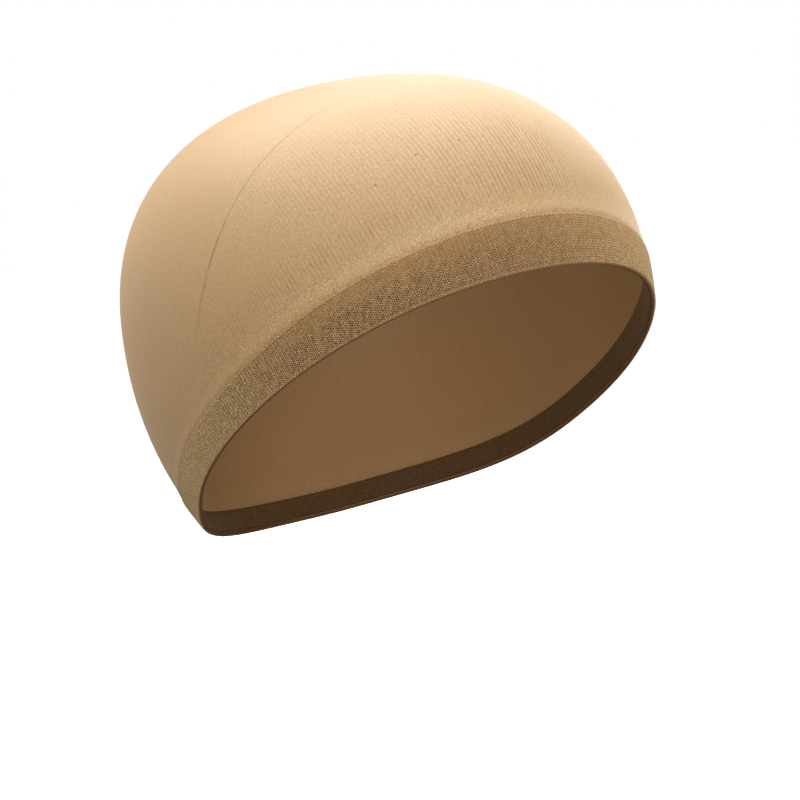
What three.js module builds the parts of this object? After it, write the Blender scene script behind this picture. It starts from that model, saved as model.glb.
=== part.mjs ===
import * as THREE from 'three';

// Stocking wig cap in its worn form: a sheer knitted crown, a narrow shadow strip, a dense elastic
// rim band and the rolled edge below it. Millimetres, +Z up, the forehead towards -Y and the wearer's
// left towards +X. The origin is on the head's vertical axis, at the middle of the head opening,
// midway in height between the front and the back of the rim.

// Inside of the stretched cloth, from the head's vertical axis at the widest level
const foreheadReach = 99;
const occiputReach = 90;
const sideReach = 75.5;

// Heights from the widest level: up to the top, and the depths at which the lower curves would close
const crownRise = 73.5;
const foreheadDepth = 160;
const sideDepth = 96;
const occiputDepth = 89;

// Fullness of the curves: 2 is an ellipse, and more is squarer
const planFullnessFront = 2.0;
const planFullnessBack = 2.25;
const domeFullnessFront = 2.3;
const domeFullnessSide = 2.35;
const domeFullnessBack = 2.35;

// Lower edge of the cap, from the widest level
const rimFrontRise = 14.8;
const rimSideDrop = 45.9;
const rimBackDrop = 70;
const rimTempleDip = 3;

// Knitted walls and the heights of the pieces, measured along the cloth
const crownWall = 1.0;
const stripWall = 1.35;
const bandWall = 1.7;
const edgeDiameter = 1.5;
const bandFrontHeight = 11.6;
const bandSideHeight = 8.4;
const stripHeight = 5.0;
const fitGap = 0.3;
const bandEdgeRadius = 0.55;

// How soon the band narrows away from the forehead: 1 is slow, and more is sooner
const bandNarrowing = 5;

// Fineness of the mesh
const columns = 72;
const crownRows = 18;
const edgeSides = 8;
const bandCornerSteps = 2;
const walkStep = 2;

// Outer face of the strip, as shares of its height and of the step from the crown's wall to its own
const stripFace = [
  { up: 0.0, swell: 0.75 },
  { up: 0.2, swell: 1.0 },
  { up: 0.5, swell: 0.55 },
  { up: 0.8, swell: 0.2 },
  { up: 1.0, swell: 0.0 },
];

const widestLevel = (rimBackDrop - rimFrontRise) / 2;
const up = new THREE.Vector3(0, 0, 1);

// Angle 0 is the forehead and a quarter turn is the wearer's left
function foreAft(angle) {
  return Math.cos(angle) ** 2;
}

function planReach(angle) {
  const front = Math.cos(angle) > 0;
  const fullness = front ? planFullnessFront : planFullnessBack;
  const forward = Math.abs(Math.cos(angle)) / (front ? foreheadReach : occiputReach);
  const sideways = Math.abs(Math.sin(angle)) / sideReach;
  return (forward ** fullness + sideways ** fullness) ** (-1 / fullness);
}

function domeFullness(angle) {
  const share = foreAft(angle);
  const ends = Math.cos(angle) > 0 ? domeFullnessFront : domeFullnessBack;
  return domeFullnessSide * (1 - share) + ends * share;
}

function lowerDepth(angle) {
  const share = foreAft(angle);
  const ends = Math.cos(angle) > 0 ? foreheadDepth : occiputDepth;
  return sideDepth * (1 - share) + ends * share;
}

// Reach of the head at an angle and a height over the widest level
function headReach(angle, height) {
  if (height < 0) {
    const fall = Math.min(-height / lowerDepth(angle), 1);
    return planReach(angle) * Math.sqrt(1 - fall ** 2);
  }
  const fullness = domeFullness(angle);
  const rise = Math.min(height / crownRise, 1);
  return planReach(angle) * (1 - rise ** fullness) ** (1 / fullness);
}

function headPoint(angle, height) {
  const reach = headReach(angle, height);
  return new THREE.Vector3(reach * Math.sin(angle), -reach * Math.cos(angle), height + widestLevel);
}

// Zero on the head's surface and growing outwards, so that its slope is the outward direction
function headField(point) {
  const angle = Math.atan2(point.x, -point.y);
  const height = point.z - widestLevel;
  const spread = Math.hypot(point.x, point.y) / planReach(angle);
  if (height < 0) {
    return spread ** 2 + (height / lowerDepth(angle)) ** 2 - 1;
  }
  const fullness = domeFullness(angle);
  return spread ** fullness + (height / crownRise) ** fullness - 1;
}

function headNormal(point) {
  const probe = 0.01;
  const slope = ['x', 'y', 'z'].map((axis) => {
    const ahead = point.clone();
    const behind = point.clone();
    ahead[axis] += probe;
    behind[axis] -= probe;
    return headField(ahead) - headField(behind);
  });
  return new THREE.Vector3(...slope).normalize();
}

function rimHeight(angle) {
  const forward = Math.cos(angle);
  const middle = (rimFrontRise - rimBackDrop) / 2;
  const tilt = ((rimFrontRise + rimBackDrop) / 2) * forward;
  const arch = (middle + rimSideDrop) * forward ** 2;
  return -rimSideDrop + tilt + arch - rimTempleDip * forward * Math.sin(angle) ** 2;
}

// Walks up the head from the rim, square to it, and gives the point there and the outward direction
function fromRim(angle, distance) {
  const turn = 0.001;
  const point = headPoint(angle, rimHeight(angle));
  const along = headPoint(angle + turn, rimHeight(angle + turn)).sub(point).normalize();
  const steps = Math.max(1, Math.ceil(distance / walkStep));
  for (let step = 0; step < steps; step += 1) {
    const climb = along.clone().cross(headNormal(point)).normalize();
    if (climb.dot(up) < 0) {
      climb.negate();
    }
    point.addScaledVector(climb, distance / steps);
    point.copy(headPoint(Math.atan2(point.x, -point.y), point.z - widestLevel));
  }
  return { point, normal: headNormal(point) };
}

// Distance of the band's upper edge from the rim: the band stands tallest over the forehead
function bandTop(angle) {
  const frontness = Math.max(Math.cos(angle), 0) ** bandNarrowing;
  const height = bandSideHeight + (bandFrontHeight - bandSideHeight) * frontness;
  return edgeDiameter + fitGap + height;
}

function columnAngle(column) {
  return (column / columns) * 2 * Math.PI;
}

function solid(points, triangles) {
  const geometry = new THREE.BufferGeometry();
  const positions = points.flatMap((point) => point.toArray());
  geometry.setAttribute('position', new THREE.Float32BufferAttribute(positions, 3));
  geometry.setIndex(triangles);
  geometry.computeVertexNormals();
  return geometry;
}

// Two triangles for a quad whose corners run anticlockwise when seen from outside
function quad(a, b, c, d) {
  return [a, b, c, a, c, d];
}

// A ring that follows the rim. Its section at an angle is a closed list of up and out distances from
// the rim, and it runs up the outside and down the inside.
function ringAlongRim(sectionAt) {
  const points = [];
  for (let column = 0; column < columns; column += 1) {
    const angle = columnAngle(column);
    for (const corner of sectionAt(angle)) {
      const { point, normal } = fromRim(angle, corner.up);
      points.push(point.addScaledVector(normal, corner.out));
    }
  }
  const triangles = [];
  const count = points.length / columns;
  for (let column = 0; column < columns; column += 1) {
    const here = column * count;
    const next = ((column + 1) % columns) * count;
    for (let side = 0; side < count; side += 1) {
      const after = (side + 1) % count;
      triangles.push(...quad(here + side, next + side, next + after, here + after));
    }
  }
  return solid(points, triangles);
}

// Rolled edge: a bead that lies on the head at the very rim
function rimEdge() {
  const section = [];
  for (let side = 0; side < edgeSides; side += 1) {
    const turn = (side / edgeSides) * 2 * Math.PI;
    section.push({
      up: (edgeDiameter / 2) * (1 + Math.sin(turn)),
      out: (edgeDiameter / 2) * (1 + Math.cos(turn)),
    });
  }
  return ringAlongRim(() => section);
}

// Elastic band: a flat strip with rounded outer edges
function bandSection(angle) {
  const bottom = edgeDiameter + fitGap;
  const top = bandTop(angle);
  const section = [{ up: bottom, out: 0 }];
  for (const corner of ['bottom', 'top']) {
    for (let step = 0; step <= bandCornerSteps; step += 1) {
      const turn = ((step / bandCornerSteps) * Math.PI) / 2;
      const low = corner === 'bottom';
      const inset = bandEdgeRadius * (1 - (low ? Math.sin(turn) : Math.cos(turn)));
      const rise = bandEdgeRadius * (1 - (low ? Math.cos(turn) : Math.sin(turn)));
      section.push({ up: low ? bottom + rise : top - rise, out: bandWall - inset });
    }
    if (corner === 'bottom') {
      section.push({ up: (bottom + top) / 2, out: bandWall });
    }
  }
  section.push({ up: top, out: 0 });
  section.push({ up: (bottom + top) / 2, out: 0 });
  return section;
}

// Shadow strip: the thicker courses that lead from the band to the sheer crown
function stripSection(angle) {
  const bottom = bandTop(angle) + fitGap;
  const section = stripFace.map((row) => ({
    up: bottom + row.up * stripHeight,
    out: crownWall + row.swell * (stripWall - crownWall),
  }));
  section.push({ up: bottom + stripHeight, out: 0 });
  section.push({ up: bottom + stripHeight / 2, out: 0 });
  section.push({ up: bottom, out: 0 });
  return section;
}

// Crown: the sheer dome, a shell of one wall that is open below
function crown() {
  const inner = [];
  const outer = [];
  for (let column = 0; column < columns; column += 1) {
    const base = bandTop(columnAngle(column)) + stripHeight + 2 * fitGap;
    const foot = fromRim(columnAngle(column), base).point;
    const angle = Math.atan2(foot.x, -foot.y);
    const height = foot.z - widestLevel;
    const scale = height < 0 ? lowerDepth(angle) : crownRise;
    const footTurn = Math.asin(height / scale);
    for (let row = 0; row < crownRows; row += 1) {
      const turn = footTurn + (row / crownRows) * (Math.PI / 2 - footTurn);
      const reachDown = turn < 0 ? lowerDepth(angle) : crownRise;
      const point = headPoint(angle, reachDown * Math.sin(turn));
      inner.push(point);
      outer.push(point.clone().addScaledVector(headNormal(point), crownWall));
    }
  }
  const top = new THREE.Vector3(0, 0, widestLevel + crownRise);
  const points = [...outer, ...inner, top.clone().addScaledVector(up, crownWall), top];
  const innerStart = outer.length;
  const outerTop = 2 * innerStart;
  const innerTop = outerTop + 1;
  const triangles = [];
  for (let column = 0; column < columns; column += 1) {
    const here = column * crownRows;
    const next = ((column + 1) % columns) * crownRows;
    for (let row = 0; row < crownRows - 1; row += 1) {
      triangles.push(...quad(here + row, next + row, next + row + 1, here + row + 1));
      triangles.push(...quad(
        innerStart + next + row,
        innerStart + here + row,
        innerStart + here + row + 1,
        innerStart + next + row + 1,
      ));
    }
    const last = crownRows - 1;
    triangles.push(here + last, next + last, outerTop);
    triangles.push(innerStart + next + last, innerStart + here + last, innerTop);
    triangles.push(...quad(next, here, innerStart + here, innerStart + next));
  }
  return solid(points, triangles);
}

function cloth(colour, roughness) {
  return new THREE.MeshStandardMaterial({ color: colour, roughness, metalness: 0 });
}

const group = new THREE.Group();
const pieces = [
  { name: 'crown', geometry: crown(), material: cloth('#d8b88a', 0.75) },
  { name: 'shadow_strip', geometry: ringAlongRim(stripSection), material: cloth('#cfae7e', 0.75) },
  { name: 'rim_band', geometry: ringAlongRim(bandSection), material: cloth('#987b50', 0.85) },
  { name: 'rim_edge', geometry: rimEdge(), material: cloth('#6b4c2a', 0.85) },
];
for (const piece of pieces) {
  const mesh = new THREE.Mesh(piece.geometry, piece.material);
  mesh.name = piece.name;
  group.add(mesh);
}

export default group;
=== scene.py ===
import math
import bpy
import numpy as np
from mathutils import Matrix, Vector


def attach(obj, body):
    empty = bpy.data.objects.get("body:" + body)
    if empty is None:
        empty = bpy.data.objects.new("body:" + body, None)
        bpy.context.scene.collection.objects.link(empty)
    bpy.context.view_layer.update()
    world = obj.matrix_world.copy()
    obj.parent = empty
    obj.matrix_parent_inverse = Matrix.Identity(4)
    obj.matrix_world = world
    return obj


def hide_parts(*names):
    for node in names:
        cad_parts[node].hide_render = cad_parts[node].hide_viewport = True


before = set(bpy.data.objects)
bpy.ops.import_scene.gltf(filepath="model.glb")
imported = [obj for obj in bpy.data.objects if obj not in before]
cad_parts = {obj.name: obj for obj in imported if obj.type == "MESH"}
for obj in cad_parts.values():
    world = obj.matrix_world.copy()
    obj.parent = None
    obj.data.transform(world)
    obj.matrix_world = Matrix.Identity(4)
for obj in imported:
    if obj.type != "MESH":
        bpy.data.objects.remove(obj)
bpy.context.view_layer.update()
print("frame loaded:", ", ".join(sorted(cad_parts)))

mm = 0.001
fullTurn = 2 * math.pi

# the form that the cap is stretched to, inside the cloth, in metres from its vertical axis
headForm = {
    "foreheadReach": 99 * mm, "occiputReach": 90 * mm, "sideReach": 75.5 * mm,
    "crownRise": 73.5 * mm, "foreheadDepth": 160 * mm, "sideDepth": 96 * mm, "occiputDepth": 89 * mm,
    "planFront": 2.0, "planBack": 2.25,
    "domeFront": 2.3, "domeSide": 2.35, "domeBack": 2.35,
    "rimFrontRise": 14.8 * mm, "rimSideDrop": 45.9 * mm, "rimBackDrop": 70 * mm, "templeDip": 3 * mm,
}
widestLevel = (headForm["rimBackDrop"] - headForm["rimFrontRise"]) / 2

# knitted walls, heights along the cloth, and the steps in which such a height is walked
cloth = {
    "crownWall": 1.0 * mm, "stripWall": 1.35 * mm, "edgeWidth": 1.5 * mm,
    "bandFrontHeight": 11.6 * mm, "bandSideHeight": 8.4 * mm, "bandNarrowing": 5,
    "stripHeight": 5.0 * mm, "gap": 0.3 * mm, "walkSteps": 10, "rimSamples": 2881,
}
bandFoot = cloth["edgeWidth"]
stripRise = cloth["stripHeight"] + 1.5 * cloth["gap"]  # closes the gap below it and half the one above

# one wale is one upright column of knit stitches; inside, the ribs are turned in and lower
wales = {"count": 440, "columnsEach": 3, "crownCourse": 0.95 * mm, "insideShare": 0.6}
columnCount = wales["count"] * wales["columnsEach"]
creaseAngle = 50  # degrees, past which a piece keeps its sharp edges
allSmooth = 180


# angle 0 is the forehead and a quarter turn is the wearer's left
def planReach(angle):
    front = np.cos(angle) > 0
    fullness = np.where(front, headForm["planFront"], headForm["planBack"])
    reach = np.where(front, headForm["foreheadReach"], headForm["occiputReach"])
    forward = np.abs(np.cos(angle)) / reach
    sideways = np.abs(np.sin(angle)) / headForm["sideReach"]
    return (forward ** fullness + sideways ** fullness) ** (-1 / fullness)


def domeFullness(angle):
    share = np.cos(angle) ** 2
    ends = np.where(np.cos(angle) > 0, headForm["domeFront"], headForm["domeBack"])
    return headForm["domeSide"] * (1 - share) + ends * share


def lowerDepth(angle):
    share = np.cos(angle) ** 2
    ends = np.where(np.cos(angle) > 0, headForm["foreheadDepth"], headForm["occiputDepth"])
    return headForm["sideDepth"] * (1 - share) + ends * share


def headPoint(angle, height):
    fullness = domeFullness(angle)
    rise = np.clip(height / headForm["crownRise"], 0, 1)
    fall = np.clip(-height / lowerDepth(angle), 0, 1)
    share = np.where(height < 0, np.sqrt(1 - fall ** 2), (1 - rise ** fullness) ** (1 / fullness))
    reach = planReach(angle) * share
    return np.stack([reach * np.sin(angle), -reach * np.cos(angle), height + widestLevel], -1)


def headAngle(points):
    return np.arctan2(points[..., 0], -points[..., 1])


def headField(points):
    angle = headAngle(points)
    height = points[..., 2] - widestLevel
    spread = np.hypot(points[..., 0], points[..., 1]) / planReach(angle)
    fullness = domeFullness(angle)
    dome = spread ** fullness + np.clip(height / headForm["crownRise"], 0, None) ** fullness
    bowl = spread ** 2 + (height / lowerDepth(angle)) ** 2
    return np.where(height < 0, bowl, dome) - 1


def unit(vectors):
    return vectors / np.linalg.norm(vectors, axis=-1, keepdims=True)


def headNormal(points):
    probe = 0.01 * mm
    slope = [headField(points + step) - headField(points - step) for step in np.eye(3) * probe]
    return unit(np.stack(slope, -1))


def rimHeight(angle):
    forward = np.cos(angle)
    front, side, back = headForm["rimFrontRise"], headForm["rimSideDrop"], headForm["rimBackDrop"]
    arch = ((front - back) / 2 + side) * forward ** 2
    dip = headForm["templeDip"] * forward * np.sin(angle) ** 2
    return -side + (front + back) / 2 * forward + arch - dip


# distances along the cloth from the rim; the band stands tallest over the forehead
def stripFoot(angle):
    front, side = cloth["bandFrontHeight"], cloth["bandSideHeight"]
    frontness = np.clip(np.cos(angle), 0, None) ** cloth["bandNarrowing"]
    height = side + (front - side) * frontness
    return bandFoot + height + cloth["gap"]


def crownFoot(angle):
    return stripFoot(angle) + stripRise


# walks up the cloth from the rim, square to it
def fromRim(angle, distance):
    distance = np.reshape(distance, (-1, 1))
    points = headPoint(angle, rimHeight(angle))
    ahead = angle + 0.001
    along = unit(headPoint(ahead, rimHeight(ahead)) - points)
    for step in range(cloth["walkSteps"]):
        climb = unit(np.cross(along, headNormal(points)))
        climb *= np.sign(climb[..., 2:3])
        points = points + climb * distance / cloth["walkSteps"]
        points = headPoint(headAngle(points), points[..., 2] - widestLevel)
    return points


# a flat map of the dome: the top is its middle and the widest level is its unit circle
def toMap(points):
    angle = headAngle(points)
    height = points[..., 2] - widestLevel
    scale = np.where(height < 0, lowerDepth(angle), headForm["crownRise"])
    share = 1 - np.arcsin(np.clip(height / scale, -1, 1)) / (math.pi / 2)
    return np.stack([share * np.sin(angle), -share * np.cos(angle)], -1)


def fromMap(places):
    angle = headAngle(places)
    turn = (1 - np.hypot(places[..., 0], places[..., 1])) * math.pi / 2
    scale = np.where(turn < 0, lowerDepth(angle), headForm["crownRise"])
    return headPoint(angle, np.sin(turn) * scale)


# columns stand at even steps along the top of the shadow strip
def evenAngles(count):
    fine = np.linspace(0, fullTurn, cloth["rimSamples"])
    ring = fromRim(fine, crownFoot(fine))
    length = np.concatenate([[0], np.cumsum(np.linalg.norm(np.diff(ring, axis=0), axis=1))])
    return np.interp(np.arange(count) / count * length[-1], length, fine)


columnAngles = evenAngles(columnCount)
waleAngles = evenAngles(wales["count"])


# the groove between two wales is the first of each wale's columns
def ribRelief(depth):
    return np.where(np.arange(columnCount) % wales["columnsEach"] == 0, -depth, 0.0)


def turns(count):
    return np.arange(count) / count * fullTurn


def makeMesh(name, points, faces, uvs):
    mesh = bpy.data.meshes.new(name)
    mesh.from_pydata(points.tolist(), [], faces.tolist())
    layer = mesh.uv_layers.new(name="knit")
    layer.data.foreach_set("uv", uvs.reshape(-1).astype(np.float32))
    mesh.validate()
    piece = bpy.data.objects.new(name, mesh)
    bpy.context.scene.collection.objects.link(piece)
    return piece


def smoothPiece(piece, degrees):
    bpy.ops.object.select_all(action="DESELECT")
    bpy.context.view_layer.objects.active = piece
    piece.select_set(True)
    bpy.ops.object.shade_smooth_by_angle(angle=math.radians(degrees))
    piece.select_set(False)


# quads between the columns of closed sections; U counts the wales and V runs with the marks
def ringFaces(count, sides, marks):
    column, side = np.meshgrid(np.arange(count), np.arange(sides), indexing="ij")
    nextColumn, nextSide = (column + 1) % count, (side + 1) % sides
    corners = [(column, side), (nextColumn, side), (nextColumn, nextSide), (column, nextSide)]
    faces = np.stack([c * sides + s for c, s in corners], -1).reshape(-1, 4)
    waleOf = wales["count"] / count
    across = np.stack([column, column + 1, column + 1, column], -1) * waleOf
    upward = np.stack([marks[side], marks[side], marks[side + 1], marks[side + 1]], -1)
    return faces, np.stack([across, upward], -1).reshape(-1, 2)


# a closed ring along the rim; its section runs up the outside and down the inside
def ringAlongRim(name, upOfSide, outOfSide, angles, marks, reliefOf=None):
    points = []
    for side, (rise, out) in enumerate(zip(upOfSide, outOfSide)):
        places = fromRim(angles, rise)
        relief = 0 if reliefOf is None else reliefOf[side]
        points.append(places + headNormal(places) * np.reshape(out + relief, (-1, 1)))
    grid = np.stack(points, 1).reshape(-1, 3)
    faces, uvs = ringFaces(len(angles), len(upOfSide), marks)
    return makeMesh(name, grid, faces, uvs)


def srgb(red, green, blue):
    def linear(level):
        level /= 255
        return level / 12.92 if level <= 0.04045 else ((level + 0.055) / 1.055) ** 2.4
    return (linear(red), linear(green), linear(blue), 1)


yarnFinish = {"specular": 0.35, "sheenRoughness": 0.5, "sheenTint": srgb(255, 224, 184)}


# shader maths on sockets
class Value:
    def __init__(self, shader, socket):
        self.shader = shader
        self.socket = socket

    def math(self, operation, second=0.0):
        return self.shader.math(operation, self, second)

    def __add__(self, other):
        return self.math("ADD", other)

    def __sub__(self, other):
        return self.math("SUBTRACT", other)

    def __rsub__(self, other):
        return self.shader.math("SUBTRACT", other, self)

    def __mul__(self, other):
        return self.math("MULTIPLY", other)

    __radd__ = __add__
    __rmul__ = __mul__

    def fraction(self):
        return self.math("FRACT")

    def size(self):
        return self.math("ABSOLUTE")

    def sine(self):
        return self.math("SINE")

    def power(self, other):
        return self.math("POWER", other)


class ClothShader:
    def __init__(self, name, roughness, sheen):
        self.material = bpy.data.materials.new(name)
        self.material.use_nodes = True
        self.nodes = self.material.node_tree.nodes
        self.links = self.material.node_tree.links
        self.surface = self.nodes["Principled BSDF"]
        self.surface.inputs["Roughness"].default_value = roughness
        self.surface.inputs["Specular IOR Level"].default_value = yarnFinish["specular"]
        self.surface.inputs["Sheen Weight"].default_value = sheen
        self.surface.inputs["Sheen Roughness"].default_value = yarnFinish["sheenRoughness"]
        self.surface.inputs["Sheen Tint"].default_value = yarnFinish["sheenTint"]

    def node(self, kind, settings=None, sockets=None):
        made = self.nodes.new(kind)
        for key, value in (settings or {}).items():
            setattr(made, key, value)
        for key, value in (sockets or {}).items():
            self.feed(made.inputs[key], value)
        return made

    def feed(self, socket, value):
        if isinstance(value, Value):
            self.links.new(value.socket, socket)
        elif isinstance(value, bpy.types.NodeSocket):
            self.links.new(value, socket)
        else:
            socket.default_value = value

    def value(self, kind, settings=None, sockets=None, output=0):
        return Value(self, self.node(kind, settings, sockets).outputs[output])

    def math(self, operation, first, second):
        return self.value("ShaderNodeMath", {"operation": operation}, {0: first, 1: second})

    def knitPlace(self):
        uv = self.node("ShaderNodeUVMap", {"uv_map": "knit"}).outputs[0]
        parts = self.node("ShaderNodeSeparateXYZ", None, {0: uv})
        return Value(self, parts.outputs[0]), Value(self, parts.outputs[1])

    # the object's own coordinates, in millimetres
    def place(self):
        own = self.node("ShaderNodeTexCoord").outputs["Object"]
        parts = self.node("ShaderNodeSeparateXYZ", None, {0: own})
        return [Value(self, part) * 1000 for part in parts.outputs]

    # slides softly from one value to another while the first passes between two limits
    def slide(self, value, start, stop, first=0.0, second=1.0):
        return self.value("ShaderNodeMapRange", {"interpolation_type": "SMOOTHSTEP"}, {
            "Value": value, "From Min": start, "From Max": stop, "To Min": first, "To Max": second,
        })

    # streaks of noise along the wales
    def streaks(self, across, upward, length):
        stretched = {0: across, 1: upward * (1 / length)}
        place = self.node("ShaderNodeCombineXYZ", None, stretched).outputs[0]
        return self.value("ShaderNodeTexNoise", None, {"Vector": place, "Scale": 0.8, "Detail": 1.0})

    # a number from 0 to 1 for each whole step across and upward
    def chance(self, across, upward):
        whole = {0: across.math("FLOOR"), 1: upward.math("FLOOR")}
        cell = self.node("ShaderNodeCombineXYZ", None, whole).outputs[0]
        return self.value("ShaderNodeTexWhiteNoise", {"noise_dimensions": "2D"}, {"Vector": cell})

    # distance in millimetres to the nearest of a few places
    def nearest(self, places):
        own = self.node("ShaderNodeTexCoord").outputs["Object"]
        least = None
        for place in places:
            ends = {0: own, 1: [level * mm for level in place]}
            gap = self.value("ShaderNodeVectorMath", {"operation": "DISTANCE"}, ends, "Value")
            least = gap if least is None else least.math("MINIMUM", gap)
        return least * 1000

    # noise on the object's own coordinates, from about 0.3 to 0.7
    def noise(self, size, detail):
        own = self.node("ShaderNodeTexCoord").outputs["Object"]
        sockets = {"Vector": own, "Scale": 1 / size, "Detail": detail}
        return self.value("ShaderNodeTexNoise", None, sockets)

    def mix(self, share, first, second):
        made = self.node("ShaderNodeMix", {"data_type": "RGBA", "clamp_factor": True})
        self.feed(made.inputs[0], share)
        self.feed(made.inputs[6], first)
        self.feed(made.inputs[7], second)
        return made.outputs[2]

    def finish(self, colour, height, bumpDepth):
        self.feed(self.surface.inputs["Base Color"], colour)
        sockets = {"Strength": 1.0, "Distance": bumpDepth, "Height": height}
        bump = self.node("ShaderNodeBump", None, sockets)
        self.feed(self.surface.inputs["Normal"], bump.outputs["Normal"])
        return self.material


# relief of plain knit: two slanting legs in each wale, one pair each course
def legRelief(shader):
    across, upward = shader.knitPlace()
    beside = (across.fraction() - 0.5).size() * 2
    legs = ((upward + beside * 0.8) * fullTurn).sine() * 0.5 + 0.5
    trough = (across * fullTurn).math("COSINE") * 0.5 + 0.5
    return legs, trough


# a soft change is named once: where it starts and stops, then its two values if they aren't 0 and 1;
# places are in millimetres, and heights up the knit are in courses
crownLook = {
    # the warmer and side colours are painted shade, laid on towards the rim and on the wearer's left
    "light": srgb(213, 176, 129), "deep": srgb(164, 128, 86), "shadeWarm": srgb(205, 162, 109),
    "side": srgb(190, 147, 76), "glint": srgb(254, 232, 192),
    "fold": srgb(150, 110, 74), "lint": srgb(84, 66, 50),
    "roughness": 0.5, "sheen": 0.35, "bump": 0.05 * mm, "yarnNoise": 0.6 * mm,
    "tone": 0.2, "grain": 1.25, "grainOpened": 0.4,
    "calmBack": (-46, -34, 1, 0.7), "calmTop": (72, 84, 1, 0.8),
    "roughLow": (50, 26), "rough": 1.3, "roughFoot": (4, 0), "roughest": 0.9,
    "shadeDown": (75, 0, 0, 0.7), "broadNoise": 28 * mm, "broad": 0.5,
    "sideLeft": (10, 44), "sideForward": (-4, -40), "sideLow": (86, 56), "sideShare": 0.85,
    "valleyShade": (2.4, 0), "valleyShadeDark": 0.12,
    "ribDark": 0.55, "ribSharpness": 1.4, "ribStreaks": (0.3, 0.65, 0.5, 1.2), "streakLength": 9,
    "ribsStart": (0.2, 3, 0.2, 1), "ribsLow": (15, 3, 0, 0.65), "ribsHigh": (76, 88, 1, 0.5),
    "ribsForward": (-42, -66, 0.14, 0.5), "ribsLeft": (-34, 14, 0.75, 2.3),
    "evenLeft": (14, 28), "evenLeftHigh": (58, 70), "evenLeftShare": 0.5,
    "evenRight": (-32, -44), "evenRightLow": (70, 60), "evenRightShare": 0.7,
    "foldMiddle": 48.5, "foldBend": 0.0026, "foldTop": 101.0, "foldWidth": 0.42, "foldCore": 0.3,
    "foldWidens": (66, 48, 1, 1.9), "foldStarts": (28, 62), "foldStops": (-16, -34),
    "foldNoise": 2.2 * mm, "foldBreaks": (0.36, 0.56, 0.35, 1), "foldDark": (90, 66, 0.42, 0.66),
    "specks": (
        (-19, -79, 75), (-31, -78, 69), (-7, -80, 77), (-49, -72, 52), (-70, -39, 32), (-75, -3, 45),
    ),
    "faintSpecks": ((-8, -75, 82), (-64, -20, 73), (-69, -30, 56), (-59, -61, 47)),
    "speckEdge": (0.55, 0.95, 1, 0), "faintSpeckEdge": (0.5, 1.1, 0.4, 0),
    "lintNoise": 0.35 * mm, "lintRagged": 0.9, "lintDark": 0.7,
    "relief": {"legs": 0.3, "ribs": 0.6, "yarn": 0.5, "fold": 1.2},
}

# painted highlights, shared by the crown and the strip
glints = {
    "fromRight": (-74, -58, 0.4, 1), "toLeft": (-8, 14, 1, 0.5), "share": 0.65,
    "clumpNoise": 3.5 * mm, "clumps": (0.36, 0.62, 0.4, 1.05),
    "sparkNoise": 0.36 * mm, "sparks": (0.56, 0.70), "onCrown": (0, 4, 0.7, 0),
}


# a fine fold that lies across the wales on the wearer's right side and fades at both ends
def foldShare(shader):
    x, y, z = shader.place()
    drop = crownLook["foldTop"] - z
    beside = (y + crownLook["foldMiddle"] - drop * drop * crownLook["foldBend"]).size()
    width = shader.slide(z, *crownLook["foldWidens"]) * crownLook["foldWidth"]
    along = shader.slide(z, *crownLook["foldStarts"]) * shader.slide(x, *crownLook["foldStops"])
    broken = shader.slide(shader.noise(crownLook["foldNoise"], 2), *crownLook["foldBreaks"])
    return shader.slide(beside, width * crownLook["foldCore"], width, 1, 0) * along * broken


def lintShare(shader):
    ragged = shader.noise(crownLook["lintNoise"], 2) * crownLook["lintRagged"]
    strong = shader.slide(shader.nearest(crownLook["specks"]) + ragged, *crownLook["speckEdge"])
    faint = shader.slide(shader.nearest(crownLook["faintSpecks"]) + ragged, *crownLook["faintSpeckEdge"])
    return strong.math("MAXIMUM", faint)


# the wales stand apart where the cloth is stretched most, over the forehead, and close to the strip
def openness(shader):
    x, y, z = shader.place()
    upward = shader.knitPlace()[1]
    stretched = shader.slide(y, *crownLook["ribsForward"]) * shader.slide(x, *crownLook["ribsLeft"])
    evenLeft = shader.slide(x, *crownLook["evenLeft"]) * shader.slide(z, *crownLook["evenLeftHigh"])
    evenRight = shader.slide(x, *crownLook["evenRight"]) * shader.slide(z, *crownLook["evenRightLow"])
    high = shader.slide(z, *crownLook["ribsHigh"]) * (1 - evenLeft * crownLook["evenLeftShare"])
    forward = stretched * high * (1 - evenRight * crownLook["evenRightShare"])
    return forward.math("MAXIMUM", shader.slide(upward, *crownLook["ribsLow"]))


# painted shade: the cloth is drawn darker and warmer towards the rim and on the wearer's left, over
# broad tone that differs at random
def shadeLowAndLeft(shader, knitted):
    x, y, z = shader.place()
    broad = shader.noise(crownLook["broadNoise"], 2)
    shadeLow = shader.slide(z, *crownLook["shadeDown"]) + broad * crownLook["broad"]
    low = shader.mix(shadeLow - crownLook["broad"] / 2, knitted, crownLook["shadeWarm"])
    aside = shader.slide(x, *crownLook["sideLeft"]) * shader.slide(y, *crownLook["sideForward"])
    aside = aside * shader.slide(z, *crownLook["sideLow"])
    return shader.mix(aside * crownLook["sideShare"], low, crownLook["side"])


# painted highlights: small glints of yarn in loose clumps
def sparkle(shader):
    x = shader.place()[0]
    facing = shader.slide(x, *glints["fromRight"]) * shader.slide(x, *glints["toLeft"])
    clumps = shader.slide(shader.noise(glints["clumpNoise"], 2), *glints["clumps"])
    return shader.slide(shader.noise(glints["sparkNoise"], 1), *glints["sparks"]) * facing * clumps


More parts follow.
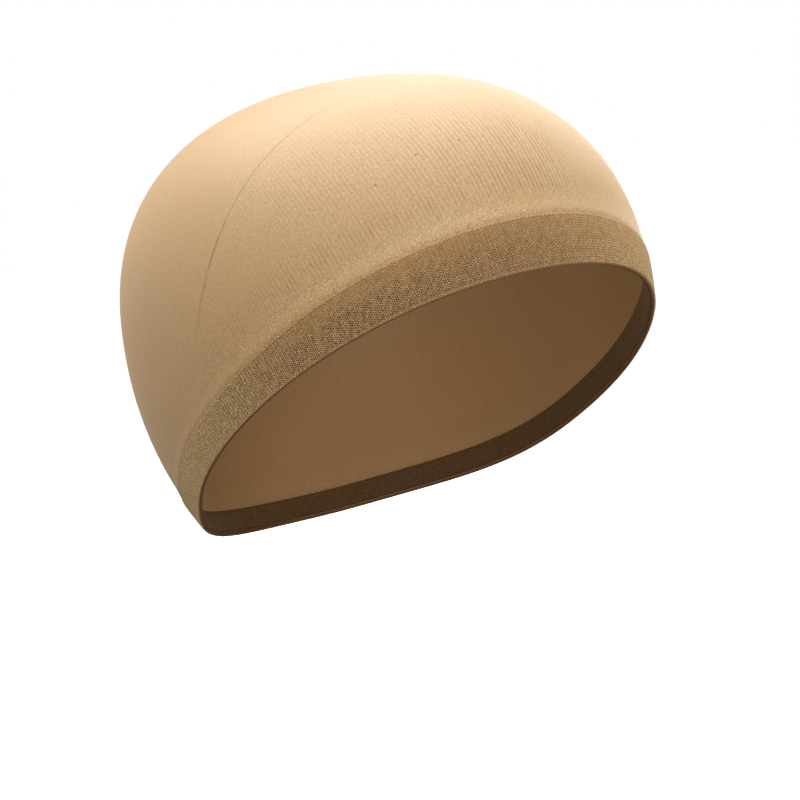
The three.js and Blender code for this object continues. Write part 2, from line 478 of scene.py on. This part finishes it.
def crownMaterial():
    shader = ClothShader("crownKnit", crownLook["roughness"], crownLook["sheen"])
    across, upward = shader.knitPlace()
    y, z = shader.place()[1:]
    legs, trough = legRelief(shader)
    opened = openness(shader)
    fine = shader.noise(crownLook["yarnNoise"], 3)
    streaks = shader.streaks(across, upward, crownLook["streakLength"])
    uneven = shader.slide(streaks, *crownLook["ribStreaks"])
    started = shader.slide(upward, *crownLook["ribsStart"])
    ribs = trough.power(crownLook["ribSharpness"]) * opened * uneven * started
    # painted shade in the shallow trough of the crown just above the strip
    valleyShade = shader.slide(upward, *crownLook["valleyShade"], 0, crownLook["valleyShadeDark"])
    calm = shader.slide(y, *crownLook["calmBack"]) * shader.slide(z, *crownLook["calmTop"])
    roughest = shader.slide(upward, *crownLook["roughFoot"]) * crownLook["roughest"]
    rough = shader.slide(z, *crownLook["roughLow"]) * (crownLook["rough"] + roughest)
    grain = (opened * crownLook["grainOpened"] + crownLook["grain"]) * calm + rough
    grooved = ribs * crownLook["ribDark"] + (fine - 0.5) * grain + valleyShade + crownLook["tone"]
    knitted = shader.mix(grooved, crownLook["light"], crownLook["deep"])
    # painted highlights of yarn low on the crown
    sparks = sparkle(shader) * shader.slide(upward, *glints["onCrown"])
    lit = shader.mix(sparks * glints["share"], shadeLowAndLeft(shader, knitted), crownLook["glint"])
    fold = foldShare(shader)
    folded = shader.mix(fold * shader.slide(z, *crownLook["foldDark"]), lit, crownLook["fold"])
    colour = shader.mix(lintShare(shader) * crownLook["lintDark"], folded, crownLook["lint"])
    relief = crownLook["relief"]
    knit = legs * relief["legs"] * opened + (1 - trough) * relief["ribs"] * opened
    height = knit + fine * relief["yarn"] - fold * relief["fold"]
    return shader.finish(colour, height, crownLook["bump"])


stripLook = {
    "light": srgb(214, 177, 127), "deep": srgb(164, 128, 84), "dot": srgb(120, 90, 56),
    "roughness": 0.5, "sheen": 0.35, "bump": 0.06 * mm, "yarnNoise": 0.5 * mm,
    "tone": 0.17, "ribDark": 0.14, "yarn": (-36, -54, 1.9, 3.2), "shadeRight": (-40, -72, 0, 0.2),
    "shoulderStarts": (0.5, 1.4), "shoulderStops": (3.6, 5.4, 1, 0.7),
    "grainStarts": (0.3, 1.5, 0.35, 1), "valleyShade": (3.0, 5.6),
    "dotNoise": 0.42 * mm, "dots": (0.46, 0.32), "dotsLow": (2.4, 0.4, 0.1, 0.75), "dotShare": 0.9,
    "relief": {"legs": 0.2, "yarn": 1.1, "glints": 0.5},
}


# close knit with faint ribs, dark dots at its foot, painted shade in the trough at its top and towards
# the wearer's right, and painted highlights of yarn along its shoulder
def stripMaterial():
    shader = ClothShader("stripKnit", stripLook["roughness"], stripLook["sheen"])
    upward = shader.knitPlace()[1]
    x = shader.place()[0]
    legs, trough = legRelief(shader)
    fine = shader.noise(stripLook["yarnNoise"], 3)
    shoulder = shader.slide(upward, *stripLook["shoulderStarts"])
    shoulder = shoulder * shader.slide(upward, *stripLook["shoulderStops"])
    grain = shader.slide(upward, *stripLook["grainStarts"])
    # painted shade in the trough at the top of the strip
    valleyShade = shader.slide(upward, *stripLook["valleyShade"], 0, crownLook["valleyShadeDark"])
    ribs = trough.power(crownLook["ribSharpness"]) * openness(shader) * stripLook["ribDark"]
    # painted shade, darker towards the wearer's right
    aside = shader.slide(x, *stripLook["shadeRight"])
    yarn = (fine - 0.5) * shader.slide(x, *stripLook["yarn"])
    worked = (ribs + yarn) * grain + valleyShade + aside + stripLook["tone"]
    plain = shadeLowAndLeft(shader, shader.mix(worked, stripLook["light"], stripLook["deep"]))
    dots = shader.slide(shader.noise(stripLook["dotNoise"], 1), *stripLook["dots"])
    dots = dots * shader.slide(upward, *stripLook["dotsLow"])
    dotted = shader.mix(dots * stripLook["dotShare"], plain, stripLook["dot"])
    # painted highlights along the strip's shoulder
    spark = sparkle(shader) * shoulder
    colour = shader.mix(spark * glints["share"], dotted, crownLook["glint"])
    relief = stripLook["relief"]
    height = legs * relief["legs"] * grain + fine * relief["yarn"] * grain + spark * relief["glints"]
    return shader.finish(colour, height, stripLook["bump"])


bandLook = {
    "leg": srgb(240, 202, 148), "shade": srgb(184, 146, 98),
    # the gap colour is painted shade between the stitches; the ground colour is the band's brown yarn
    "ground": srgb(154, 118, 76), "gap": srgb(62, 42, 22),
    "oliveLeg": srgb(230, 202, 148), "oliveGround": srgb(62, 46, 24), "upper": srgb(218, 176, 120),
    "roughness": 0.7, "sheen": 0.2, "bump": 0.04 * mm, "tone": 0.35,
    "yarnNoise": 0.5 * mm, "yarn": 0.5, "broadNoise": 5 * mm, "broad": 0.1,
    "cellsPerWale": 4, "uneven": (-18, -44, 0.6, 1.2), "olive": (-88, -30, 0, 0.4),
    "topCourse": (17.8, 18.2), "topCourseRight": (-24, -50, 0.1, 0.55),
    "upperHigh": (8, 15), "upperForward": (-45, -85, 0, 0.26), "upperRight": (-22, 0, 1.6, 0.9),
}


# stitches differ a little from one to the next; painted shade darkens the top course where it meets the
# strip, painted light from above lightens the courses near its top at the front, and the band is more
# olive at its sides
def bandMaterial(name, light, dark, olive):
    shader = ClothShader(name, bandLook["roughness"], bandLook["sheen"])
    across, upward = shader.knitPlace()
    x, y = shader.place()[:2]
    fine = shader.noise(bandLook["yarnNoise"], 3)
    broad = shader.noise(bandLook["broadNoise"], 2)
    each = shader.chance(across * bandLook["cellsPerWale"], upward)
    uneven = (each - 0.5) * shader.slide(x, *bandLook["uneven"])
    # painted shade: the top course, where the band meets the strip, is darkened, more on the wearer's
    # right
    topCourseShade = shader.slide(upward, *bandLook["topCourse"]) * shader.slide(x, *bandLook["topCourseRight"])
    mottled = (fine - 0.5) * bandLook["yarn"] + (broad - 0.5) * bandLook["broad"]
    share = mottled + uneven + topCourseShade + bandLook["tone"]
    # painted light from above: the courses near its top at the front are drawn lighter and warmer
    high = shader.slide(upward, *bandLook["upperHigh"]) * shader.slide(y, *bandLook["upperForward"])
    high = high * shader.slide(x, *bandLook["upperRight"])
    plain = shader.mix(high, shader.mix(share, light, dark), bandLook["upper"])
    colour = shader.mix(shader.slide(y, *bandLook["olive"]), plain, olive)
    return shader.finish(colour, fine, bandLook["bump"])


# the dark colour is painted shade under the bead
edgeLook = {
    "thread": srgb(156, 122, 82), "dark": srgb(112, 74, 40), "roughness": 0.9, "sheen": 0.0,
    "bump": 0.05 * mm, "yarnNoise": 0.6 * mm, "yarn": 0.5,
    "darkest": 0.68, "lighterLeft": (-40, 0, 0.15, 0.5), "turnsDark": (0, 0.4),
}


# V goes once round the bead: 0 is its outermost line, 0.25 its top and 0.75 its foot
def edgeMaterial():
    shader = ClothShader("edgeThread", edgeLook["roughness"], edgeLook["sheen"])
    upward = shader.knitPlace()[1]
    x = shader.place()[0]
    fine = shader.noise(edgeLook["yarnNoise"], 3)
    # painted shade: the bead is drawn dark round its foot and inner side, less so on the wearer's left
    below = ((upward - edgeLook["darkest"]) * fullTurn + fullTurn / 4).sine()
    below = below + (fine - 0.5) * edgeLook["yarn"]
    share = shader.slide(below - shader.slide(x, *edgeLook["lighterLeft"]), *edgeLook["turnsDark"])
    colour = shader.mix(share, edgeLook["thread"], edgeLook["dark"])
    return shader.finish(colour, fine, edgeLook["bump"])


# crown: wales run in straight lines on the map, from the strip up to the closing seam
crown = {
    "outerRows": 44, "innerRows": 20, "ribDepth": 0.10 * mm,
    "seamPlace": 0.36, "seamHalf": 0.62, "seamRoundness": 0.5,
    "seamDip": 0.35 * mm, "seamDipWidth": 1.1 * mm, "seamRows": (0.0, 0.004, 0.008, 0.014, 0.024),
    "firstFullRow": 0.04,
    "ribsForward": ((42, 80), (0.3, 1)), "ribsLeft": ((-45, 8), (0.4, 1)),
    "ribsAtFoot": ((0, 3), (0.1, 1)),
}


def seamMap(turn):
    folded = np.arcsin(np.clip(np.sin(turn), -1, 1)) / (math.pi / 2)
    share = crown["seamRoundness"] * np.sin(turn) + (1 - crown["seamRoundness"]) * folded
    return np.stack([crown["seamHalf"] * share, np.full_like(turn, crown["seamPlace"])], -1)


def crownSheet(rows, wall, relief, dip):
    seam = seamMap(turns(columnCount))
    foot = toMap(fromRim(columnAngles, crownFoot(columnAngles)))
    grid = np.stack([fromMap(seam + (foot - seam) * row) for row in rows], 1)
    steps = np.linalg.norm(np.diff(grid, axis=1), axis=-1)
    fromSeam = np.concatenate([np.zeros((columnCount, 1)), np.cumsum(steps, 1)], 1)
    fade = np.exp(-(fromSeam / crown["seamDipWidth"]) ** 2)
    fromFoot = fromSeam.max(axis=1, keepdims=True) - fromSeam
    forward = np.interp(-grid[..., 1] / mm, *crown["ribsForward"])
    leftwards = np.interp(grid[..., 0] / mm, *crown["ribsLeft"])
    opened = forward * leftwards * np.interp(fromFoot / mm, *crown["ribsAtFoot"])
    out = wall + relief[:, None] * opened * (1 - fade) - dip * fade
    return grid + headNormal(grid) * out[..., None], fromSeam


def crownFaces(rowCount, start, fromSeam, outwards):
    half, quarter = columnCount // 2, columnCount // 4
    column, row = np.meshgrid(np.arange(columnCount), np.arange(rowCount - 1), indexing="ij")

    def vertex(columnOf, rowOf):
        columnOf = columnOf % columnCount
        behind = (columnOf > quarter) & (columnOf < columnCount - quarter)
        shared = np.where((rowOf == 0) & behind, (half - columnOf) % columnCount, columnOf)
        return start + shared * rowCount + rowOf

    corners = [(column, row + 1), (column + 1, row + 1), (column + 1, row), (column, row)]
    faces = np.stack([vertex(c, r) for c, r in corners], -1)
    courses = (fromSeam.max(axis=1, keepdims=True) - fromSeam) / wales["crownCourse"]
    uvs = np.stack([
        np.stack([c / wales["columnsEach"], courses[c % columnCount, r]], -1) for c, r in corners
    ], -2)
    if not outwards:
        faces, uvs = faces[..., ::-1], uvs[..., ::-1, :]
    return faces.reshape(-1, 4), uvs.reshape(-1, 2)


def makeCrown():
    fullRows = crown["outerRows"] + 1 - len(crown["seamRows"])
    outerRows = np.concatenate([crown["seamRows"], np.linspace(crown["firstFullRow"], 1, fullRows)])
    innerRows = np.linspace(0, 1, crown["innerRows"] + 1)
    ribs = ribRelief(crown["ribDepth"])
    outer, outerRun = crownSheet(outerRows, cloth["crownWall"], ribs, crown["seamDip"])
    inner, innerRun = crownSheet(innerRows, 0.0, -ribs * wales["insideShare"], 0.0)
    innerStart = outer.shape[0] * outer.shape[1]
    outerFaces, outerUvs = crownFaces(len(outerRows), 0, outerRun, True)
    innerFaces, innerUvs = crownFaces(len(innerRows), innerStart, innerRun, False)
    column = np.arange(columnCount)
    nextColumn = (column + 1) % columnCount
    outerFoot = column * len(outerRows) + len(outerRows) - 1
    innerFoot = innerStart + column * len(innerRows) + len(innerRows) - 1
    footFaces = np.stack([outerFoot[nextColumn], outerFoot, innerFoot, innerFoot[nextColumn]], -1)
    footWale = np.stack([column + 1, column, column, column + 1], -1) / wales["columnsEach"]
    footUvs = np.stack([footWale, np.zeros_like(footWale)], -1).reshape(-1, 2)
    points = np.concatenate([outer.reshape(-1, 3), inner.reshape(-1, 3)])
    faces = np.concatenate([outerFaces, innerFaces, footFaces])
    piece = makeMesh("crownKnit", points, faces, np.concatenate([outerUvs, innerUvs, footUvs]))
    return dropLoose(piece)


# the shared seam points leave the far side's own copies unused
def dropLoose(piece):
    bpy.ops.object.select_all(action="DESELECT")
    bpy.context.view_layer.objects.active = piece
    piece.select_set(True)
    bpy.ops.object.mode_set(mode="EDIT")
    bpy.ops.mesh.select_all(action="SELECT")
    bpy.ops.mesh.delete_loose()
    bpy.ops.object.mode_set(mode="OBJECT")
    piece.select_set(False)
    return piece


crownKnit = makeCrown()
smoothPiece(crownKnit, creaseAngle)
crownKnit.data.materials.append(crownMaterial())
print("crown:", len(crownKnit.data.polygons), "faces")


# shadow strip: close courses over a low swell, between the band and the open crown
strip = {
    "faceUp": (0.0, 0.1, 0.2, 0.35, 0.5, 0.65, 0.8, 0.9, 1.0),
    "faceSwell": (0.75, 0.9, 1.0, 0.85, 0.55, 0.35, 0.2, 0.08, 0.0),
    "innerUp": (1.0, 0.5, 0.0), "ribDepth": 0.05 * mm,
}


def makeStrip():
    swell = cloth["stripWall"] - cloth["crownWall"]
    shares = strip["faceUp"] + strip["innerUp"]
    rises = [stripFoot(columnAngles) + share * stripRise for share in shares]
    outs = [cloth["crownWall"] + share * swell for share in strip["faceSwell"]]
    outs += [0.0] * len(strip["innerUp"])
    rib = ribRelief(strip["ribDepth"])
    ribs = [rib] * len(strip["faceUp"]) + [-rib * wales["insideShare"]] * len(strip["innerUp"])
    marks = np.array([*shares, shares[0]]) * stripRise / wales["crownCourse"]
    return ringAlongRim("shadowStrip", rises, outs, columnAngles, marks, ribs)


shadowStrip = makeStrip()
smoothPiece(shadowStrip, creaseAngle)
shadowStrip.data.materials.append(stripMaterial())
print("strip:", len(shadowStrip.data.polygons), "faces")


# band: a smooth ground with a knit stitch of two legs in every wale and course
band = {
    "courses": 19, "overlap": 1.1 * mm,
    "ground": 1.42 * mm, "groundColumns": 880, "cornerRadius": 0.3 * mm, "cornerPoints": 4,
    "legLength": 1.5, "legWidth": 0.115, "legHeight": 0.27 * mm, "legLean": 0.82, "legAside": 0.25,
    "unevenness": 0.12, "mostUneven": 2,
}


# one leg of yarn: a flat foot and a ridge, long in its second axis, that every stitch copies
legPoints = np.array([
    (-1, -0.9, -0.25), (1, -0.9, -0.25), (1, 0.9, -0.25), (-1, 0.9, -0.25),
    (0, -0.6, 1), (0, 0.6, 1),
])
legFaces = np.array([
    (0, 3, 2), (0, 2, 1), (1, 2, 5), (1, 5, 4),
    (3, 0, 4), (3, 4, 5), (0, 1, 4), (2, 3, 5),
])
chances = np.random.default_rng(7)


# copies the leg to its places on the cloth; sizes are half its width, half its length and its height
def placeLegs(centres, across, along, out, sizes, uvs):
    count, most = len(centres), band["mostUneven"]
    uneven = 1 + band["unevenness"] * chances.standard_normal((count, 3)).clip(-most, most)
    axes = np.stack([across * sizes[0], along * sizes[1], out * sizes[2]], 1) * uneven[..., None]
    points = centres[:, None] + np.einsum("pk,nkx->npx", legPoints, axes)
    faces = legFaces[None] + np.arange(count)[:, None, None] * len(legPoints)
    perFace = np.broadcast_to(uvs[:, None, None], (count, *legFaces.shape, 2))
    return points.reshape(-1, 3), faces.reshape(-1, legFaces.shape[1]), perFace.reshape(-1, 2)


# points, three directions and the width of a wale, over rows up from the rim
def rimPatch(angles, rises):
    points = np.stack([fromRim(angles, rise) for rise in rises], 0)
    out = headNormal(points)
    side = unit(np.roll(points, -1, axis=1) - np.roll(points, 1, axis=1))
    up = unit(np.cross(out, side))
    pitch = np.linalg.norm(np.roll(points, -1, axis=1) - points, axis=-1, keepdims=True)
    return points, out, side, up, pitch


def stitchLegs():
    foot, courses = bandFoot - band["overlap"], band["courses"]
    step = (stripFoot(waleAngles) - foot) / courses
    rises = foot + (np.arange(courses)[:, None] + 0.5) * step
    points, out, side, up, pitch = rimPatch(waleAngles, rises)
    wale, course = np.meshgrid(np.arange(wales["count"]), np.arange(courses))
    lengths = np.tile(step * band["legLength"] / 2, courses)[:, None]
    sizes = (pitch.mean() * band["legWidth"], lengths, band["legHeight"])
    parts = []
    for hand in (-1, 1):
        lean, aside = band["legLean"] * hand, band["legAside"] * hand
        along = unit(up + side * lean)
        across = unit(side - up * lean)
        centres = points + side * pitch * aside + out * band["ground"]
        pair = np.stack([wale + 0.5 + aside, course + 0.5], -1).reshape(-1, 2)
        flat = [part.reshape(-1, 3) for part in (centres, across, along, out)]
        parts.append(placeLegs(*flat, sizes, pair))
    return parts


def joinParts(name, parts):
    points, faces, uvs, start = [], [], [], 0
    for partPoints, partFaces, partUvs in parts:
        points.append(partPoints)
        faces.append(partFaces + start)
        uvs.append(partUvs)
        start += len(partPoints)
    return makeMesh(name, np.concatenate(points), np.concatenate(faces), np.concatenate(uvs))


def makeBandGround():
    angles = evenAngles(band["groundColumns"])
    foot, top = bandFoot, stripFoot(angles)
    ground, radius = band["ground"], band["cornerRadius"]
    corner = np.linspace(0, math.pi / 2, band["cornerPoints"])
    rises = [foot, *(foot + radius * (1 - np.cos(corner)))]
    outs = [0.0, *(ground - radius * (1 - np.sin(corner)))]
    rises += [(foot + top) / 2, *(top - radius * (1 - share) for share in np.sin(corner))]
    rises += [top, (foot + top) / 2]
    outs += [ground, *(ground - radius * (1 - np.cos(corner))), 0.0, 0.0]
    middles = np.array([np.mean(rise) for rise in (*rises, foot)])
    marks = (middles - foot) / (np.mean(top) - foot) * band["courses"]
    return ringAlongRim("rimBandGround", rises, outs, angles, marks)


rimBandGround = makeBandGround()
smoothPiece(rimBandGround, creaseAngle)
# the ground's colour is the band's brown yarn darkened towards painted shade between the stitches
groundCloth = bandMaterial("bandGround", bandLook["ground"], bandLook["gap"], bandLook["oliveGround"])
rimBandGround.data.materials.append(groundCloth)
rimBandKnit = joinParts("rimBandKnit", stitchLegs())
smoothPiece(rimBandKnit, allSmooth)
stitchCloth = bandMaterial("bandStitch", bandLook["leg"], bandLook["shade"], bandLook["oliveLeg"])
rimBandKnit.data.materials.append(stitchCloth)
print("band:", len(rimBandKnit.data.polygons), "stitch faces")


# rolled edge: a bead wound with slanting thread
edge = {"sides": 12, "columns": 1760, "windings": 440, "windingDepth": 0.10 * mm, "slant": 1.0}


def makeEdge():
    radius = cloth["edgeWidth"] / 2
    turn = turns(edge["sides"])
    rises = radius * (1 + np.sin(turn))
    outs = radius * (1 + np.cos(turn))
    angles = evenAngles(edge["columns"])
    wound = turns(edge["columns"]) * edge["windings"]
    relief = [
        np.sin(wound + side * edge["slant"]) * edge["windingDepth"] * math.cos(side) for side in turn
    ]
    marks = np.arange(edge["sides"] + 1) / edge["sides"]
    return ringAlongRim("rimEdge", rises, outs, angles, marks, relief)


rimEdge = makeEdge()
smoothPiece(rimEdge, allSmooth)
rimEdge.data.materials.append(edgeMaterial())
print("edge:", len(rimEdge.data.polygons), "faces")


for piece, node, slot in (
    (crownKnit, "crown", "crown_knit"),
    (shadowStrip, "shadow_strip", "strip_knit"),
    (rimBandGround, "rim_band", "band_knit"),
    (rimBandKnit, "rim_band", "band_knit"),
    (rimEdge, "rim_edge", "edge_thread"),
):
    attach(piece, "root")
    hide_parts(node)


# studio: pale floor, soft light from above and a camera at the photograph's angle
studio = {
    "floorDrop": 0.30, "floorSize": 60.0, "floorPaint": (0.9, 0.9, 0.9, 1), "floorRoughness": 0.9,
    "floorGlow": 0.85, "skySeen": 1.0, "skyLight": (0.25, 0.25, 0.25, 1), "white": (1, 1, 1, 1),
    "softLights": {
        "overheadLight": {"place": (0.0, 0.30, 1.14), "size": 1.6, "power": 25.0},
        "sideLight": {"place": (0.94, 0.54, 0.42), "size": 1.6, "power": 13.0},
        "frontLight": {"place": (0.0, -1.08, 0.42), "size": 1.6, "power": 5.3},
        "lowLight": {"place": (-0.45, -0.72, -0.20), "size": 0.5, "power": 1.5},
    },
    "lightAim": (0, 0, 30 * mm),
    "cameraPlace": (-172.5 * mm, -371.9 * mm, 65.2 * mm), "lens": 58.5, "sensorWidth": 36,
    "azimuth": -25.355, "elevation": 8.785, "roll": -8.667,
}


def makeFloor():
    bpy.ops.object.select_all(action="DESELECT")
    bpy.ops.mesh.primitive_plane_add(size=studio["floorSize"], location=(0, 0, -studio["floorDrop"]))
    floor = bpy.context.object
    floor.name = "paleFloor"
    paint = bpy.data.materials.new("paleFloor")
    paint.use_nodes = True
    surface = paint.node_tree.nodes["Principled BSDF"]
    surface.inputs["Base Color"].default_value = studio["floorPaint"]
    surface.inputs["Roughness"].default_value = studio["floorRoughness"]
    surface.inputs["Emission Color"].default_value = studio["white"]
    surface.inputs["Emission Strength"].default_value = studio["floorGlow"]
    floor.data.materials.append(paint)
    floor.visible_diffuse = False
    floor.visible_glossy = False


def makeSky():
    world = bpy.data.worlds.new("paleRoom")
    bpy.context.scene.world = world
    world.use_nodes = True
    nodes, links = world.node_tree.nodes, world.node_tree.links
    nodes.clear()
    seen = nodes.new("ShaderNodeBackground")
    seen.inputs["Color"].default_value = studio["white"]
    seen.inputs["Strength"].default_value = studio["skySeen"]
    light = nodes.new("ShaderNodeBackground")
    light.inputs["Color"].default_value = studio["skyLight"]
    ray = nodes.new("ShaderNodeLightPath")
    mixed = nodes.new("ShaderNodeMixShader")
    output = nodes.new("ShaderNodeOutputWorld")
    links.new(ray.outputs["Is Camera Ray"], mixed.inputs["Fac"])
    links.new(light.outputs[0], mixed.inputs[1])
    links.new(seen.outputs[0], mixed.inputs[2])
    links.new(mixed.outputs[0], output.inputs["Surface"])


def makeSoftLight(name, place, size, power):
    bpy.ops.object.light_add(type="AREA", location=place)
    light = bpy.context.object
    light.name = name
    light.data.shape = "DISK"
    light.data.size = size
    light.data.energy = power
    light.visible_camera = False
    aim = Vector(studio["lightAim"]) - light.location
    light.rotation_euler = aim.to_track_quat("-Z", "Y").to_euler()


def makeCamera():
    bpy.ops.object.camera_add()
    camera = bpy.context.object
    camera.name = "photoCamera"
    camera.data.sensor_width = studio["sensorWidth"]
    camera.data.lens = studio["lens"]
    turn, lift, roll = (math.radians(studio[key]) for key in ("azimuth", "elevation", "roll"))
    back = Vector((math.sin(turn) * math.cos(lift), -math.cos(turn) * math.cos(lift), math.sin(lift)))
    level = Vector((math.cos(turn), math.sin(turn), 0))
    upright = back.cross(level)
    right = level * math.cos(roll) + upright * math.sin(roll)
    up = upright * math.cos(roll) - level * math.sin(roll)
    axes = Matrix((right, up, back)).transposed().to_4x4()
    camera.matrix_world = Matrix.Translation(studio["cameraPlace"]) @ axes
    bpy.context.scene.camera = camera


makeFloor()
makeSky()
for name, light in studio["softLights"].items():
    makeSoftLight(name, **light)
makeCamera()
bpy.context.scene.view_settings.view_transform = "Standard"
print("studio ready")
